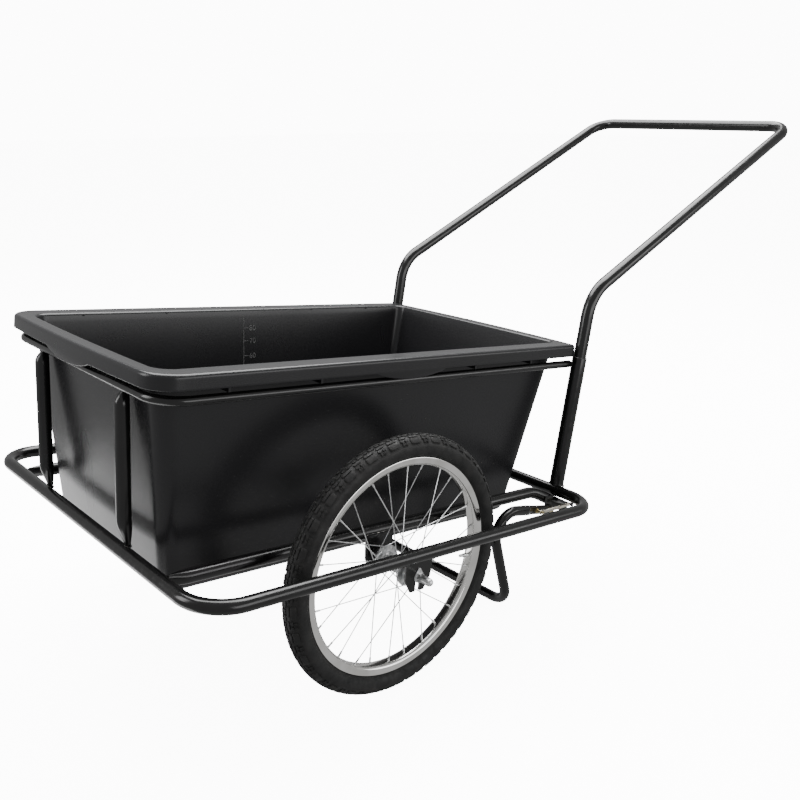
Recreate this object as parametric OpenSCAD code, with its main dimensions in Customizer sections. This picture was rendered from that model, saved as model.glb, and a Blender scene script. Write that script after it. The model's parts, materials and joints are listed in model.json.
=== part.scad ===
// Two-wheeled garden handcart: a plastic tub hung in a welded tube frame, spoked wheels,
// a plug-in draw handle and a swing-down parking stand.
//
// The deck frame has its origin on the wheel axis at the middle of the cart, X towards the
// handle, Y across and Z up from the deck. The parked cart leans back on its stand, so
// on_deck() turns that frame about the wheel axis and sets the wheels on the ground.
// Side 1 is the +Y side. Facing the tub from the handle, -Y is the left.

/* [Wheels] */
// Outer diameter of the tyre
wheel_d = 500; // [440:1:520]
// Width of the tyre
tyre_w = 46; // [40:1:52]
// Distance between the middles of the two wheels
track = 724; // [700:1:760]
// Number of spokes in each wheel
spoke_count = 28; // [20, 28, 36]
// Diameter of a spoke
spoke_d = 2; // [1.8:0.1:2.6]
// Width of the hub between its locknuts
hub_w = 106; // [100:1:112]

/* [Frame tubes] */
// Diameter of the bumper loop and rail tubes
tube_d = 25; // [22:1:27]
// Diameter of the stand's tube
stand_d = 22; // [20:1:25]
// Diameter of the tube under the rim of the tub
rim_tube_d = 16; // [14:1:18]
// Diameter of the two front posts
front_post_d = 25; // [20:1:28]
// Diameter of the two rear posts
rear_post_d = 32; // [30:1:35]
// Diameter of the handle tube
handle_d = 28; // [25:0.5:28]
// Wall of the thin tubes
tube_wall = 1.5; // [1:0.1:2]

/* [Bumper loop] */
// Length of the loop between tube centres
loop_l = 957; // [900:1:1000]
// Width of the loop between tube centres
loop_w = 844; // [820:1:900]
// Bend radius of the loop's two front corners
loop_bend_r = 72; // [60:1:100]
// Bend radius of the loop's two rear corners
loop_rear_r = 70; // [60:1:100]
// Distance of the loop's middle behind the wheel axis
loop_mid_x = 42.5; // [20:0.5:60]
// Height of the loop above the wheel axis
loop_z = 43; // [38:1:50]

/* [Tub] */
// Width of the tub over its lip
tub_w = 604; // [590:1:606]
// Height of the lip's top above the wheel axis
tub_top_z = 373; // [368:1:380]
// Depth of the tub from the lip's top to its underside
tub_depth = 398; // [360:1:400]
// Thickness of the plastic
tub_wall = 4; // [3:0.5:5]
// Height of the skirt that hangs from the lip
skirt_h = 26; // [20:1:27]

/* [Handle and stand] */
// Distance of the grip bar behind the wheel axis
grip_x = 1335; // [1250:1:1400]
// Height of the grip bar above the wheel axis
grip_z = 922; // [850:1:950]
// Distance of the stand's foot bar behind the wheel axis
foot_x = 383; // [375:1:400]
// Drop of the stand's foot bar below the wheel axis
foot_drop = 193; // [185:1:200]

/* [Hidden] */
$fn = 48;
LEFT = -1;
RIGHT = 1;
paint = "#15171a";
plastic = "#2b2d2f";
rubber_black = "#1b1c1d";
chrome = "#c9c7c2";
zinc = "#b4b6b4";
yellow_zinc = "#b5a26a";

wheel_r = wheel_d / 2;
tube_r = tube_d / 2;
stand_r = stand_d / 2;
deck_tilt = asin((wheel_r - stand_r) / norm([foot_x, foot_drop])) - atan2(foot_drop, foot_x);
weld_gap = 0.05;
bend_lap = 1;
bend_thin = 0.1;

// Bumper loop and inner rails
loop_x0 = loop_mid_x - loop_l / 2;
loop_x1 = loop_mid_x + loop_l / 2;
loop_y = loop_w / 2;
plate_t = 4;
inner_plate_y = track / 2 - hub_w / 2;
outer_plate_y = track / 2 + hub_w / 2;
rail_y = inner_plate_y - plate_t - tube_r - weld_gap;
rail_bend_x = 462;
rail_tail = [540, rail_y + 34, 6.4];
rail_bend_r = 60;
rail_fall = rail_tail - [rail_bend_x, rail_y, loop_z];
rail_roll = atan2(rail_fall[1], -rail_fall[2]);
rail_turn = acos(rail_fall[0] / norm(rail_fall));
rail_reach = rail_bend_r * tan(rail_turn / 2);

// Posts, rim tube and handle
front_post_y = 164;
rim_tube_z = 329;
rim_tube_x = -447;
rim_tube_y = 290;
rim_bend_r = 55;
post_y = 304;
post_wall = 1.8;
post_slope = 86;
post_dir = [cos(post_slope), 0, sin(post_slope)];
screw_dir = [sin(post_slope), 0, -cos(post_slope)];
socket_top_z = 345.5;
post_plug = 70;
handle_slope = 29.5;
handle_bend_z = 484;
handle_bend_r = 90;
grip_bend_r = 55;
handle_leg = (grip_z - handle_bend_z) / sin(handle_slope);
handle_bend_x = grip_x - handle_leg * cos(handle_slope);
handle_reach = handle_bend_r * tan((post_slope - handle_slope) / 2);
handle_end_l = (handle_bend_z - socket_top_z) / sin(post_slope) + post_plug;
socket_top = [handle_bend_x - (handle_bend_z - socket_top_z) / tan(post_slope), post_y, socket_top_z];
post_foot = socket_top - (socket_top_z - loop_z) / sin(post_slope) * post_dir;
screw_d = 6;
screw_drop = 48;

// Tub outlines: front, rear, half width, front and rear corner radius at each level
lip_box = [-464, 541, tub_w / 2, 54, 14];
mouth_box = [-436, 523, 260, 36, 22];
floor_box = [-388, 460, 218, 30, 18];
lip_bow_front = 6;
lip_bow_rear = 14;
wall_bow = 4;
skirt_bottom_z = tub_top_z - skirt_h;
tub_bottom_z = tub_top_z - tub_depth;
rest_rib_t = 4;
rest_rib_x = [-330, -150, 230, 400];
rib_bottom_z = rim_tube_z + rim_tube_d / 2 + 0.3;
web_x = 52;
web_drop = 14;
web_half = 80;
web_r = (web_half * web_half + web_drop * web_drop) / (2 * web_drop);

// Wheels
bead_r = 203;
rim_flange_r = 209.5;
rim_inner_r = 192.5;
rim_w = 30;
rim_wall = 1.6;
tyre_wall = 3;
tyre_r = tyre_w / 2;
tyre_mid_r = wheel_r - tyre_r;
tube_gap = 0.4;
flange_y = 31;
flange_t = 3;
flange_r = 28;
flange_hole_r = 24;
nipple_l = 11;
nipple_r = 2.1;
valve_angle = 180 / spoke_count;
valve_r = 4;

// Hub and axle, seen from the middle of the wheel outwards
axle_r = 4.75;
barrel_r = 14;
cup_r = 15.1;
cup_floor_y = 32;
hub_end_y = 42;
ball_r = 3.175;
ball_ring_r = 11.8;
ball_count = 9;
cone_r = 8.5;
locknut_t = 6;
washer_t = 2;
nut_t = 8;
nut_af = 15;
cap_nut_l = 26;
inner_axle_end = hub_w / 2 + plate_t + washer_t + nut_t + 3;
outer_axle_end = hub_w / 2 + plate_t + washer_t + nut_t + 14;

// Dropout plates
dropout_top_w = 68;
dropout_mid_w = 60;
dropout_mid_z = -4;
dropout_low_w = 32;
dropout_low_z = -28;
dropout_slot_w = 10;

// Parking stand, just outside the inner rails
stand_y = rail_y + tube_r + 20;
pivot = [490, stand_y, 8];
bracket_w = 20;
bracket_t = 5;
bracket_top_z = 38;
stand_bend_r = 48;
foot_bend_r = 45;
stand_end = [424, stand_y, 18];
stand_shoulder = [289, stand_y, 36];
stand_lean = atan2(foot_x - stand_shoulder[0], foot_drop + stand_shoulder[2]);
stand_turn = 90 + atan2(stand_shoulder[2] - stand_end[2], stand_end[0] - stand_shoulder[0]) + stand_lean;
stand_reach = stand_bend_r * tan(stand_turn / 2);
stand_leg = norm([foot_x - stand_shoulder[0], foot_drop + stand_shoulder[2]]);
stand_arm = norm(stand_end - stand_shoulder);
lug_h = 20;
lug_t = 6;
lug_overlap = 8;
spring_bolt = pivot + 0.8 * (stand_end - pivot);
spring_y = stand_y + 17;
spring_hook = [541, spring_y, 17];
spring_eye_r = 6;
spring_eye_t = 3;
spring_peg_r = 2.5;
spring_r = 4;
pivot_bolt_d = 8;
pivot_head_t = 4;
pivot_nut_t = 4;
spring_bolt_r = 3;

// Ends of the parked cart along the ground
front_end = loop_x0 * cos(deck_tilt) + loop_z * sin(deck_tilt) - tube_r;
rear_end = grip_x * cos(deck_tilt) + grip_z * sin(deck_tilt) + handle_d / 2;
axle_x = -(front_end + rear_end) / 2;

// ---- Helpers ----

// Sets the deck frame on the ground
module on_deck() {
    translate([axle_x, 0, wheel_r]) rotate([0, deck_tilt, 0]) children();
}

// Mirrors a part built on the +Y side to the side asked for
module on_side(side) {
    if (side > 0) children();
    else mirror([0, 1, 0]) children();
}

// Puts a part built round the Z axis on a wheel's axis, Z outwards
module at_wheel(side) {
    on_deck() on_side(side) translate([0, track / 2, 0]) rotate([-90, 0, 0]) children();
}

function unit(v) = v / norm(v);

// A solid round bar between two points
module bar(a, b, r) {
    d = b - a;
    translate(a) rotate([0, acos(d[2] / norm(d)), atan2(d[1], d[0])]) cylinder(r = r, h = norm(d));
}

// A solid round run from the origin along Z. Each step is [straight length, roll, turn, bend
// radius]: the run turns towards X after the roll. The last step is [straight length]. The
// children are set at its end, and over lengthens the start and the end. Bends are a hair
// thinner than the straights, so that they end inside them.
module run(steps, r, over = [0, 0], i = 0) {
    last = i == len(steps) - 1;
    before = i == 0 ? over[0] : 0;
    straight = steps[i][0];
    translate([0, 0, -before]) cylinder(r = r, h = before + straight + (last ? over[1] : 0));
    if (last) translate([0, 0, straight]) children();
    else {
        bend_r = steps[i][3];
        turn = steps[i][2];
        translate([0, 0, straight]) rotate([0, 0, steps[i][1]]) translate([bend_r, 0, 0]) {
            rotate([90, 0, 180]) rotate([0, 0, -bend_lap]) rotate_extrude(angle = turn + 2 * bend_lap)
                translate([bend_r, 0]) circle(r = r - bend_thin);
            rotate([0, turn, 0]) translate([-bend_r, 0, 0]) run(steps, r, over, i + 1) children();
        }
    }
}

// A tube along the steps of a run, open at its end and, if start_open is 1, at its start
module tube_run(steps, r, wall, start_open = 1) {
    difference() {
        run(steps, r);
        run(steps, r - wall, [start_open, 1]);
    }
}

// Outline with round corners whose ends bow outwards; box is [front, rear, half width, front
// corner radius, rear corner radius]
function bowed_outline(box, bow_front, bow_rear, steps = 8) = let (
    x0 = box[0], x1 = box[1], y1 = box[2], r0 = box[3], r1 = box[4],
    corner = function(cx, cy, r, from) [for (i = [0 : steps])
        [cx + r * cos(from + 90 * i / steps), cy + r * sin(from + 90 * i / steps)]],
    edge = function(x, span, bow, dir) [for (i = [1 : steps - 1])
        let (s = dir * (1 - 2 * i / steps)) [x + bow * (1 - s * s), span * s]]
) concat(
    corner(x1 - r1, y1 - r1, r1, 0), corner(x0 + r0, y1 - r0, r0, 90),
    edge(x0, y1 - r0, -bow_front, 1),
    corner(x0 + r0, r0 - y1, r0, 180), corner(x1 - r1, r1 - y1, r1, 270),
    edge(x1, y1 - r1, bow_rear, -1)
);

// Shrinks an outline's box by t on every side
function inset(box, t) = [box[0] + t, box[1] - t, box[2] - t, box[3] - t, box[4] - t];

module outline(box, bow_front, bow_rear) {
    polygon(bowed_outline(box, bow_front, bow_rear));
}

// A hexagonal nut with a round bore
module nut(af, h, bore_r) {
    difference() {
        cylinder(d = af / cos(30), h = h, $fn = 6);
        translate([0, 0, -1]) cylinder(r = bore_r, h = h + 2);
    }
}

// ---- Frame ----

// The loop is two equal halves that meet at the middle of its front and rear bars
module loop_half(r) {
    steps = [
        [loop_y - loop_rear_r, 0, 90, loop_rear_r],
        [loop_l - loop_rear_r - loop_bend_r, 0, 90, loop_bend_r],
        [loop_y - loop_bend_r]
    ];
    translate([loop_x1, 0, loop_z]) rotate([-90, 180, 0]) run(steps, r);
}

module bumper_loop() {
    color(paint) on_deck() for (side = [LEFT, RIGHT]) on_side(side) difference() {
        loop_half(tube_r);
        loop_half(tube_r - tube_wall);
    }
}

module at_rail() {
    translate([loop_x0, rail_y, loop_z]) rotate([0, 90, 0]) children();
}

rail_steps = [
    [rail_bend_x - loop_x0 - rail_reach, rail_roll, rail_turn, rail_bend_r],
    [norm(rail_fall) - rail_reach]
];

module rail(side) {
    color(paint) on_deck() on_side(side) difference() {
        at_rail() tube_run(rail_steps, tube_r, tube_wall);
        bar([loop_x0, rail_y - 40, loop_z], [loop_x0, rail_y + 40, loop_z], tube_r + weld_gap);
    }
}

// The rim tube is two equal halves that meet at the middle of its front
module rim_frame() {
    steps = [
        [rim_tube_y - rim_bend_r, 0, 90, rim_bend_r],
        [socket_top[0] - rim_tube_x - rim_bend_r]
    ];
    color(paint) on_deck() for (side = [LEFT, RIGHT]) on_side(side) difference() {
        translate([rim_tube_x, 0, rim_tube_z]) rotate([-90, 0, 0])
            tube_run(steps, rim_tube_d / 2, tube_wall, 0);
        bar(post_foot, socket_top, rear_post_d / 2 + weld_gap);
    }
}

module front_post(side) {
    low = [loop_x0, front_post_y, loop_z];
    high = [rim_tube_x, front_post_y, rim_tube_z];
    color(paint) on_deck() on_side(side) difference() {
        bar(low, high, front_post_d / 2);
        bar(low, high, front_post_d / 2 - tube_wall);
        bar(low - [0, 30, 0], low + [0, 30, 0], tube_r + weld_gap);
        bar(high - [0, 30, 0], high + [0, 30, 0], rim_tube_d / 2 + weld_gap);
    }
}

// Socket tube that the handle plugs into, with the hole of its locking screw
module rear_post(side) {
    color(paint) on_deck() on_side(side) difference() {
        bar(post_foot, socket_top, rear_post_d / 2);
        bar(post_foot - post_dir, socket_top + post_dir, rear_post_d / 2 - post_wall);
        bar([loop_x1, post_y - 40, loop_z], [loop_x1, post_y + 40, loop_z], tube_r + weld_gap);
        handle_screw_bore();
    }
}

module handle_screw_bore() {
    at = socket_top - screw_drop * post_dir;
    bar(at, at + rear_post_d * screw_dir, screw_d / 2 + weld_gap);
}

// The handle is two equal halves that meet at the middle of the grip
module handle() {
    steps = [
        [post_y - grip_bend_r, 0, 90, grip_bend_r],
        [handle_leg - grip_bend_r - handle_reach, -90, post_slope - handle_slope, handle_bend_r],
        [handle_end_l - handle_reach]
    ];
    color(paint) on_deck() for (side = [LEFT, RIGHT]) on_side(side) difference() {
        translate([grip_x, 0, grip_z]) rotate([0, 180 - handle_slope, 0]) rotate([-90, 0, 0])
            tube_run(steps, handle_d / 2, tube_wall, 0);
        handle_screw_bore();
    }
}

module handle_screws() {
    at = socket_top - screw_drop * post_dir;
    head = at + (rear_post_d / 2 + 0.4) * screw_dir;
    color(zinc) on_deck() for (side = [LEFT, RIGHT]) on_side(side) {
        bar(at + handle_d / 4 * screw_dir, head, screw_d / 2);
        bar(head, head + 4 * screw_dir, screw_d);
    }
}

// Slotted plate that the axle drops into
module dropout(plate_y) {
    translate([0, plate_y + plate_t, 0]) rotate([90, 0, 0]) linear_extrude(plate_t) difference() {
        polygon([
            [-dropout_top_w / 2, loop_z], [dropout_top_w / 2, loop_z],
            [dropout_mid_w / 2, dropout_mid_z], [dropout_low_w / 2, dropout_low_z],
            [-dropout_low_w / 2, dropout_low_z], [-dropout_mid_w / 2, dropout_mid_z]
        ]);
        circle(d = dropout_slot_w);
        translate([-dropout_slot_w / 2, dropout_low_z - 1])
            square([dropout_slot_w, -dropout_low_z + 1]);
    }
}

// The outer plate is welded under the bumper loop
module outer_dropout(side) {
    seat = [dropout_top_w, loop_y, loop_z];
    color(paint) on_deck() on_side(side) difference() {
        dropout(outer_plate_y);
        bar([-seat[0], seat[1], seat[2]], seat, tube_r + weld_gap);
    }
}

// The inner plate is welded to the flank of the rail
module inner_dropout(side) {
    color(paint) on_deck() on_side(side) dropout(inner_plate_y - plate_t);
}

// ---- Axles and their fasteners ----

module axle(side) {
    color(zinc) at_wheel(side) translate([0, 0, -inner_axle_end])
        cylinder(r = axle_r, h = inner_axle_end + outer_axle_end);
}

// Both ends of the hub are alike inside the dropouts
module both_ends() {
    children();
    mirror([0, 0, 1]) children();
}

module cones(side) {
    color(zinc) at_wheel(side) both_ends() translate([0, 0, cup_floor_y]) difference() {
        cylinder(r = cone_r, h = hub_w / 2 - locknut_t - cup_floor_y);
        translate([0, 0, -1]) cylinder(r = axle_r, h = hub_w);
    }
}

module locknuts(side) {
    color(zinc) at_wheel(side) both_ends() translate([0, 0, hub_w / 2 - locknut_t])
        nut(nut_af + 2, locknut_t, axle_r);
}

// Washer with a pointed tab that hooks over the dropout
module tab_washers(side) {
    tab_r = 17;
    hook_r = 2;
    color(zinc) at_wheel(side) both_ends() translate([0, 0, hub_w / 2 + plate_t])
        difference() {
            union() {
                cylinder(r = 11, h = washer_t);
                linear_extrude(washer_t)
                    polygon([[-10, -4], [10, -4], [hook_r, -tab_r], [-hook_r, -tab_r]]);
            }
            translate([0, 0, -1]) cylinder(r = axle_r, h = washer_t + 2);
        }
}

module axle_nuts(side) {
    color(zinc) at_wheel(side) both_ends()
        translate([0, 0, hub_w / 2 + plate_t + washer_t]) nut(nut_af, nut_t, axle_r);
}

// Domed nut that closes the outer end of the axle
module cap_nut(side) {
    r = 7.5;
    bottom = hub_w / 2 + plate_t + washer_t + nut_t;
    color(zinc) at_wheel(side) translate([0, 0, bottom]) difference() {
        union() {
            cylinder(r = r, h = cap_nut_l - r);
            translate([0, 0, cap_nut_l - r]) sphere(r = r);
        }
        translate([0, 0, -1]) cylinder(r = axle_r, h = outer_axle_end - bottom + 1);
    }
}

// ---- Parking stand ----

// Strap that hangs from the rear of the bumper loop and carries the stand's pivot
module stand_bracket(side) {
    inner_y = stand_y - lug_t / 2 - 0.4;
    color(paint) on_deck() on_side(side) difference() {
        union() {
            translate([pivot[0] - bracket_w / 2, inner_y - bracket_t, pivot[2]])
                cube([bracket_w, bracket_t, bracket_top_z - pivot[2]]);
            bar([pivot[0], inner_y - bracket_t, pivot[2]], [pivot[0], inner_y, pivot[2]],
                bracket_w / 2);
        }
        at_rail() run(rail_steps, tube_r + weld_gap);
        bar([pivot[0], 0, pivot[2]], [pivot[0], loop_y, pivot[2]], pivot_bolt_d / 2);
    }
}

module pivot_bolts() {
    inner = stand_y - lug_t / 2 - 0.4 - bracket_t;
    outer = stand_y + lug_t / 2 + 0.4;
    color(yellow_zinc) on_deck() for (side = [LEFT, RIGHT]) on_side(side)
        translate([pivot[0], 0, pivot[2]]) rotate([-90, 0, 0]) {
            translate([0, 0, inner - pivot_nut_t - 1.5])
                cylinder(r = pivot_bolt_d / 2 - 0.05, h = outer - inner + pivot_nut_t + 1.5);
            translate([0, 0, outer]) cylinder(d = 13 / cos(30), h = pivot_head_t, $fn = 6);
        }
}

module pivot_nuts() {
    inner = stand_y - lug_t / 2 - 0.4 - bracket_t;
    color(zinc) on_deck() for (side = [LEFT, RIGHT]) on_side(side)
        translate([pivot[0], inner, pivot[2]]) rotate([90, 0, 0]) nut(13, pivot_nut_t, pivot_bolt_d / 2);
}

// U-shaped stand: two equal halves that meet at the middle of the foot bar, with a flat
// drilled lug at each end
module stand() {
    steps = [
        [stand_y - foot_bend_r, 0, 90, foot_bend_r],
        [stand_leg - foot_bend_r - stand_reach, 90, stand_turn, stand_bend_r],
        [stand_arm - stand_reach]
    ];
    color(paint) on_deck() for (side = [LEFT, RIGHT]) on_side(side) {
        translate([foot_x, 0, -foot_drop]) rotate([0, -stand_lean - 90, 0]) rotate([-90, 0, 0])
            tube_run(steps, stand_r, tube_wall, 0);
        stand_lug();
    }
}

// Flattened end of a leg, from inside the tube back to the pivot
module stand_lug() {
    reach = norm(pivot - stand_end) + lug_overlap;
    slope = atan2(stand_end[2] - pivot[2], pivot[0] - stand_end[0]);
    translate([pivot[0], stand_y + lug_t / 2, pivot[2]]) rotate([90, slope, 0])
        linear_extrude(lug_t) difference() {
            union() {
                circle(d = lug_h);
                translate([-reach, -lug_h / 2]) square([reach, lug_h]);
            }
            circle(d = pivot_bolt_d + 0.1);
            translate([-norm(pivot - spring_bolt), 0]) circle(r = spring_bolt_r + weld_gap);
        }
}

module spring_bolts() {
    color(yellow_zinc) on_deck() for (side = [LEFT, RIGHT]) on_side(side)
        translate([spring_bolt[0], stand_y - lug_t / 2 - 4, spring_bolt[2]]) rotate([-90, 0, 0]) {
            cylinder(d = 10 / cos(30), h = 3.9, $fn = 6);
            cylinder(r = spring_bolt_r, h = spring_y + spring_r + 2 - stand_y + lug_t / 2 + 4);
            translate([0, 0, lug_t + 4.1]) cylinder(d = 10 / cos(30), h = 4, $fn = 6);
        }
}

// Welded peg on the tail of each rail that holds the spring
module spring_hooks() {
    color(paint) on_deck() for (side = [LEFT, RIGHT]) on_side(side) difference() {
        translate([spring_hook[0], rail_tail[1], spring_hook[2]]) rotate([-90, 0, 0]) {
            cylinder(r = spring_peg_r, h = spring_y - rail_tail[1] + 4);
            translate([0, 0, spring_y - rail_tail[1] + 4]) cylinder(r = spring_peg_r + 2, h = 1.5);
        }
        at_rail() run(rail_steps, tube_r + weld_gap, [0, 1]);
    }
}

// Tension spring between the stand and the rail's peg: its outer shape with an eye at each end
module spring(side) {
    a = [spring_bolt[0], spring_y, spring_bolt[2]];
    along = unit(spring_hook - a);
    reach = spring_eye_r - 0.5;
    color(zinc) on_deck() on_side(side) {
        bar(a + reach * along, spring_hook - reach * along, spring_r);
        spring_eye(a, spring_bolt_r);
        spring_eye(spring_hook, spring_peg_r);
    }
}

module spring_eye(at, pin_r) {
    translate([at[0], spring_y - spring_eye_t / 2, at[2]]) rotate([-90, 0, 0]) difference() {
        cylinder(r = spring_eye_r, h = spring_eye_t);
        translate([0, 0, -1]) cylinder(r = pin_r + 0.1, h = spring_eye_t + 2);
    }
}

// ---- Tub ----

module tub_shell(box_top, box_low, z_low, bow) {
    slice = 0.5;
    hull() {
        translate([0, 0, tub_top_z - slice]) linear_extrude(slice) outline(box_top, bow, bow);
        translate([0, 0, z_low]) linear_extrude(slice) outline(box_low, bow, bow);
    }
}

module tub() {
    inner_low_z = tub_bottom_z + tub_wall;
    color(plastic) on_deck() difference() {
        union() {
            tub_shell(mouth_box, floor_box, tub_bottom_z, wall_bow);
            translate([0, 0, skirt_bottom_z]) linear_extrude(skirt_h)
                outline(lip_box, lip_bow_front, lip_bow_rear);
        }
        tub_shell(inset(mouth_box, tub_wall), inset(floor_box, tub_wall), inner_low_z, wall_bow);
        translate([0, 0, tub_top_z - 1]) linear_extrude(2)
            outline(inset(mouth_box, tub_wall), wall_bow, wall_bow);
        difference() {
            translate([0, 0, skirt_bottom_z - 1]) linear_extrude(skirt_h - tub_wall + 1)
                outline(inset(lip_box, tub_wall), lip_bow_front, lip_bow_rear);
            tub_shell(mouth_box, floor_box, tub_bottom_z, wall_bow);
            rest_ribs();
        }
    }
    color(plastic) on_deck() {
        for (side = [LEFT, RIGHT]) on_side(side)
            translate([web_x, tub_w / 2, skirt_bottom_z + weld_gap]) rotate([90, 0, 0]) grip_web();
        translate([lip_box[0] - lip_bow_front + 0.5, 0, skirt_bottom_z + weld_gap])
            rotate([90, 0, 90]) grip_web();
    }
}

// Ribs under the lip that rest on the rim tube
module rest_ribs() {
    for (x = rest_rib_x) translate([x - rest_rib_t / 2, -tub_w / 2, rib_bottom_z])
        cube([rest_rib_t, tub_w, tub_top_z - rib_bottom_z]);
}

// Half-moon that closes the hand hold under the skirt
module grip_web() {
    linear_extrude(tub_wall) intersection() {
        translate([0, web_r - web_drop]) circle(r = web_r);
        translate([-web_r, -web_drop]) square([2 * web_r, web_drop + 1]);
    }
}

// ---- Wheels ----

// The rim's section: a channel with rolled edges, drawn for one half and mirrored
module rim_section() {
    half = rim_w / 2;
    upper = [
        [rim_inner_r, half - 6], [rim_inner_r + 4, half - 2], [rim_inner_r + 9, half],
        [rim_flange_r, half], [rim_flange_r, half - 3], [bead_r + 1, half - 3],
        [bead_r, half - 4.5], [bead_r, half - 7], [rim_inner_r + rim_wall, half - 8]
    ];
    polygon(concat(upper, [for (i = [len(upper) - 1 : -1 : 0]) [upper[i][0], -upper[i][1]]]));
}

module rim(side) {
    color(chrome) at_wheel(side) difference() {
        rotate_extrude() rim_section();
        rotate([0, 90, valve_angle]) cylinder(r = valve_r + 0.2, h = wheel_r);
    }
}

// Tyre: a round casing open on the inside, with its beads between the rim's edges
module tyre(side) {
    bead_half = rim_w / 2 - 3.1;
    color(rubber_black) at_wheel(side) rotate_extrude() difference() {
        union() {
            translate([tyre_mid_r, 0]) circle(r = tyre_r);
            translate([bead_r + 1.1, -bead_half]) square([20, 2 * bead_half]);
        }
        translate([tyre_mid_r, 0]) circle(r = tyre_r - tyre_wall);
        translate([rim_inner_r, 3 - bead_half]) square([30, 2 * bead_half - 6]);
        translate([rim_inner_r, -tyre_r]) square([bead_r + 1.1 - rim_inner_r, tyre_w]);
        for (s = [-1, 1]) translate([rim_inner_r, s * (bead_half + 5) - 5])
            square([rim_flange_r + 0.4 - rim_inner_r, 10]);
    }
}

module inner_tube(side) {
    r = tyre_r - tyre_wall - tube_gap;
    color(rubber_black) at_wheel(side) rotate_extrude() translate([tyre_mid_r, 0]) difference() {
        circle(r = r);
        circle(r = r - 1);
    }
}

module valve(side) {
    color(zinc) at_wheel(side) rotate([0, -90, valve_angle + 180])
        translate([0, 0, rim_inner_r - 24]) {
            cylinder(r = valve_r - 1, h = 10);
            translate([0, 0, 10]) cylinder(r = valve_r, h = bead_r - rim_inner_r + 14);
        }
}

// One spoke with its nipple at the rim and its head through the hub flange
module spoke(hole_angle, rim_angle, z0, rim_z, head_dir) {
    a = [flange_hole_r * cos(hole_angle), flange_hole_r * sin(hole_angle), z0];
    b = [(rim_inner_r - 0.6) * cos(rim_angle), (rim_inner_r - 0.6) * sin(rim_angle), rim_z];
    along = unit(b - a);
    bar(a, b - along, spoke_d / 2);
    bar(b - nipple_l * along, b, nipple_r);
    head = a + [0, 0, head_dir];
    bar(a, head, spoke_d / 2);
}

module spokes(side) {
    per_flange = spoke_count / 2;
    step = 360 / per_flange;
    lace = 3 * step;
    outer_gap = 4.4;
    inner_gap = 2.6;
    color(zinc) at_wheel(side) for (flange = [-1, 1], k = [0 : per_flange - 1]) {
        hole = k * step + (flange > 0 ? step / 2 : 0);
        outside = k % 2 == 0;
        z0 = flange * (flange_y + (outside ? outer_gap : -inner_gap));
        head_dir = flange * (outside ? -1 : 1) * (outside ? outer_gap + 2 : inner_gap + 2);
        spoke(hole, hole + (outside ? -lace : lace), z0, flange * 2.5, head_dir);
    }
}

module hub(side) {
    per_flange = spoke_count / 2;
    step = 360 / per_flange;
    color(zinc) at_wheel(side) difference() {
        union() {
            cylinder(r = barrel_r, h = 2 * flange_y, center = true);
            for (s = [-1, 1]) {
                translate([0, 0, s * flange_y]) cylinder(r = flange_r, h = flange_t, center = true);
                translate([0, 0, s * (flange_y + hub_end_y) / 2])
                    cylinder(r = cup_r + 2.4, h = hub_end_y - flange_y, center = true);
            }
        }
        cylinder(r = cone_r + 0.3, h = hub_w, center = true);
        for (s = [-1, 1]) {
            translate([0, 0, s * (cup_floor_y + hub_end_y) / 2])
                cylinder(r = cup_r, h = hub_end_y - cup_floor_y + 0.02, center = true);
            for (k = [0 : per_flange - 1]) rotate(k * step + (s > 0 ? step / 2 : 0))
                translate([flange_hole_r, 0, s * flange_y])
                    cylinder(r = spoke_d / 2 + 0.2, h = flange_t + 2, center = true);
        }
    }
}

module balls(side) {
    color(chrome) at_wheel(side) both_ends() for (k = [0 : ball_count - 1])
        rotate(k * 360 / ball_count) translate([ball_ring_r, 0, cup_floor_y + ball_r + 0.8])
            sphere(r = ball_r);
}

module dust_caps(side) {
    color(zinc) at_wheel(side) both_ends() translate([0, 0, hub_end_y - 2]) difference() {
        cylinder(r = cup_r - 0.02, h = 1.5);
        translate([0, 0, -1]) cylinder(r = cone_r + 0.4, h = 4);
    }
}

// ---- Assembly ----

bumper_loop();
rail(LEFT);  // rail_left
rail(RIGHT);  // rail_right
rim_frame();
front_post(LEFT);  // front_post_left
front_post(RIGHT);  // front_post_right
rear_post(LEFT);  // rear_post_left
rear_post(RIGHT);  // rear_post_right
outer_dropout(LEFT);  // outer_dropout_left
outer_dropout(RIGHT);  // outer_dropout_right
inner_dropout(LEFT);  // inner_dropout_left
inner_dropout(RIGHT);  // inner_dropout_right
stand_bracket(LEFT);  // stand_bracket_left
stand_bracket(RIGHT);  // stand_bracket_right
handle();
handle_screws();
axle(LEFT);  // axle_left
axle(RIGHT);  // axle_right
cones(LEFT);  // cones_left
cones(RIGHT);  // cones_right
locknuts(LEFT);  // locknuts_left
locknuts(RIGHT);  // locknuts_right
tab_washers(LEFT);  // tab_washers_left
tab_washers(RIGHT);  // tab_washers_right
axle_nuts(LEFT);  // axle_nuts_left
axle_nuts(RIGHT);  // axle_nuts_right
cap_nut(LEFT);  // cap_nut_left
cap_nut(RIGHT);  // cap_nut_right
spring_hooks();
pivot_bolts();
pivot_nuts();
stand();
spring_bolts();
spring(LEFT);  // spring_left
spring(RIGHT);  // spring_right
tub();
tyre(LEFT);  // tyre_left
tyre(RIGHT);  // tyre_right
inner_tube(LEFT);  // inner_tube_left
inner_tube(RIGHT);  // inner_tube_right
rim(LEFT);  // rim_left
rim(RIGHT);  // rim_right
spokes(LEFT);  // spokes_left
spokes(RIGHT);  // spokes_right
hub(LEFT);  // hub_left
hub(RIGHT);  // hub_right
balls(LEFT);  // balls_left
balls(RIGHT);  // balls_right
dust_caps(LEFT);  // dust_caps_left
dust_caps(RIGHT);  // dust_caps_right
valve(LEFT);  // valve_left
valve(RIGHT);  // valve_right
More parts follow.
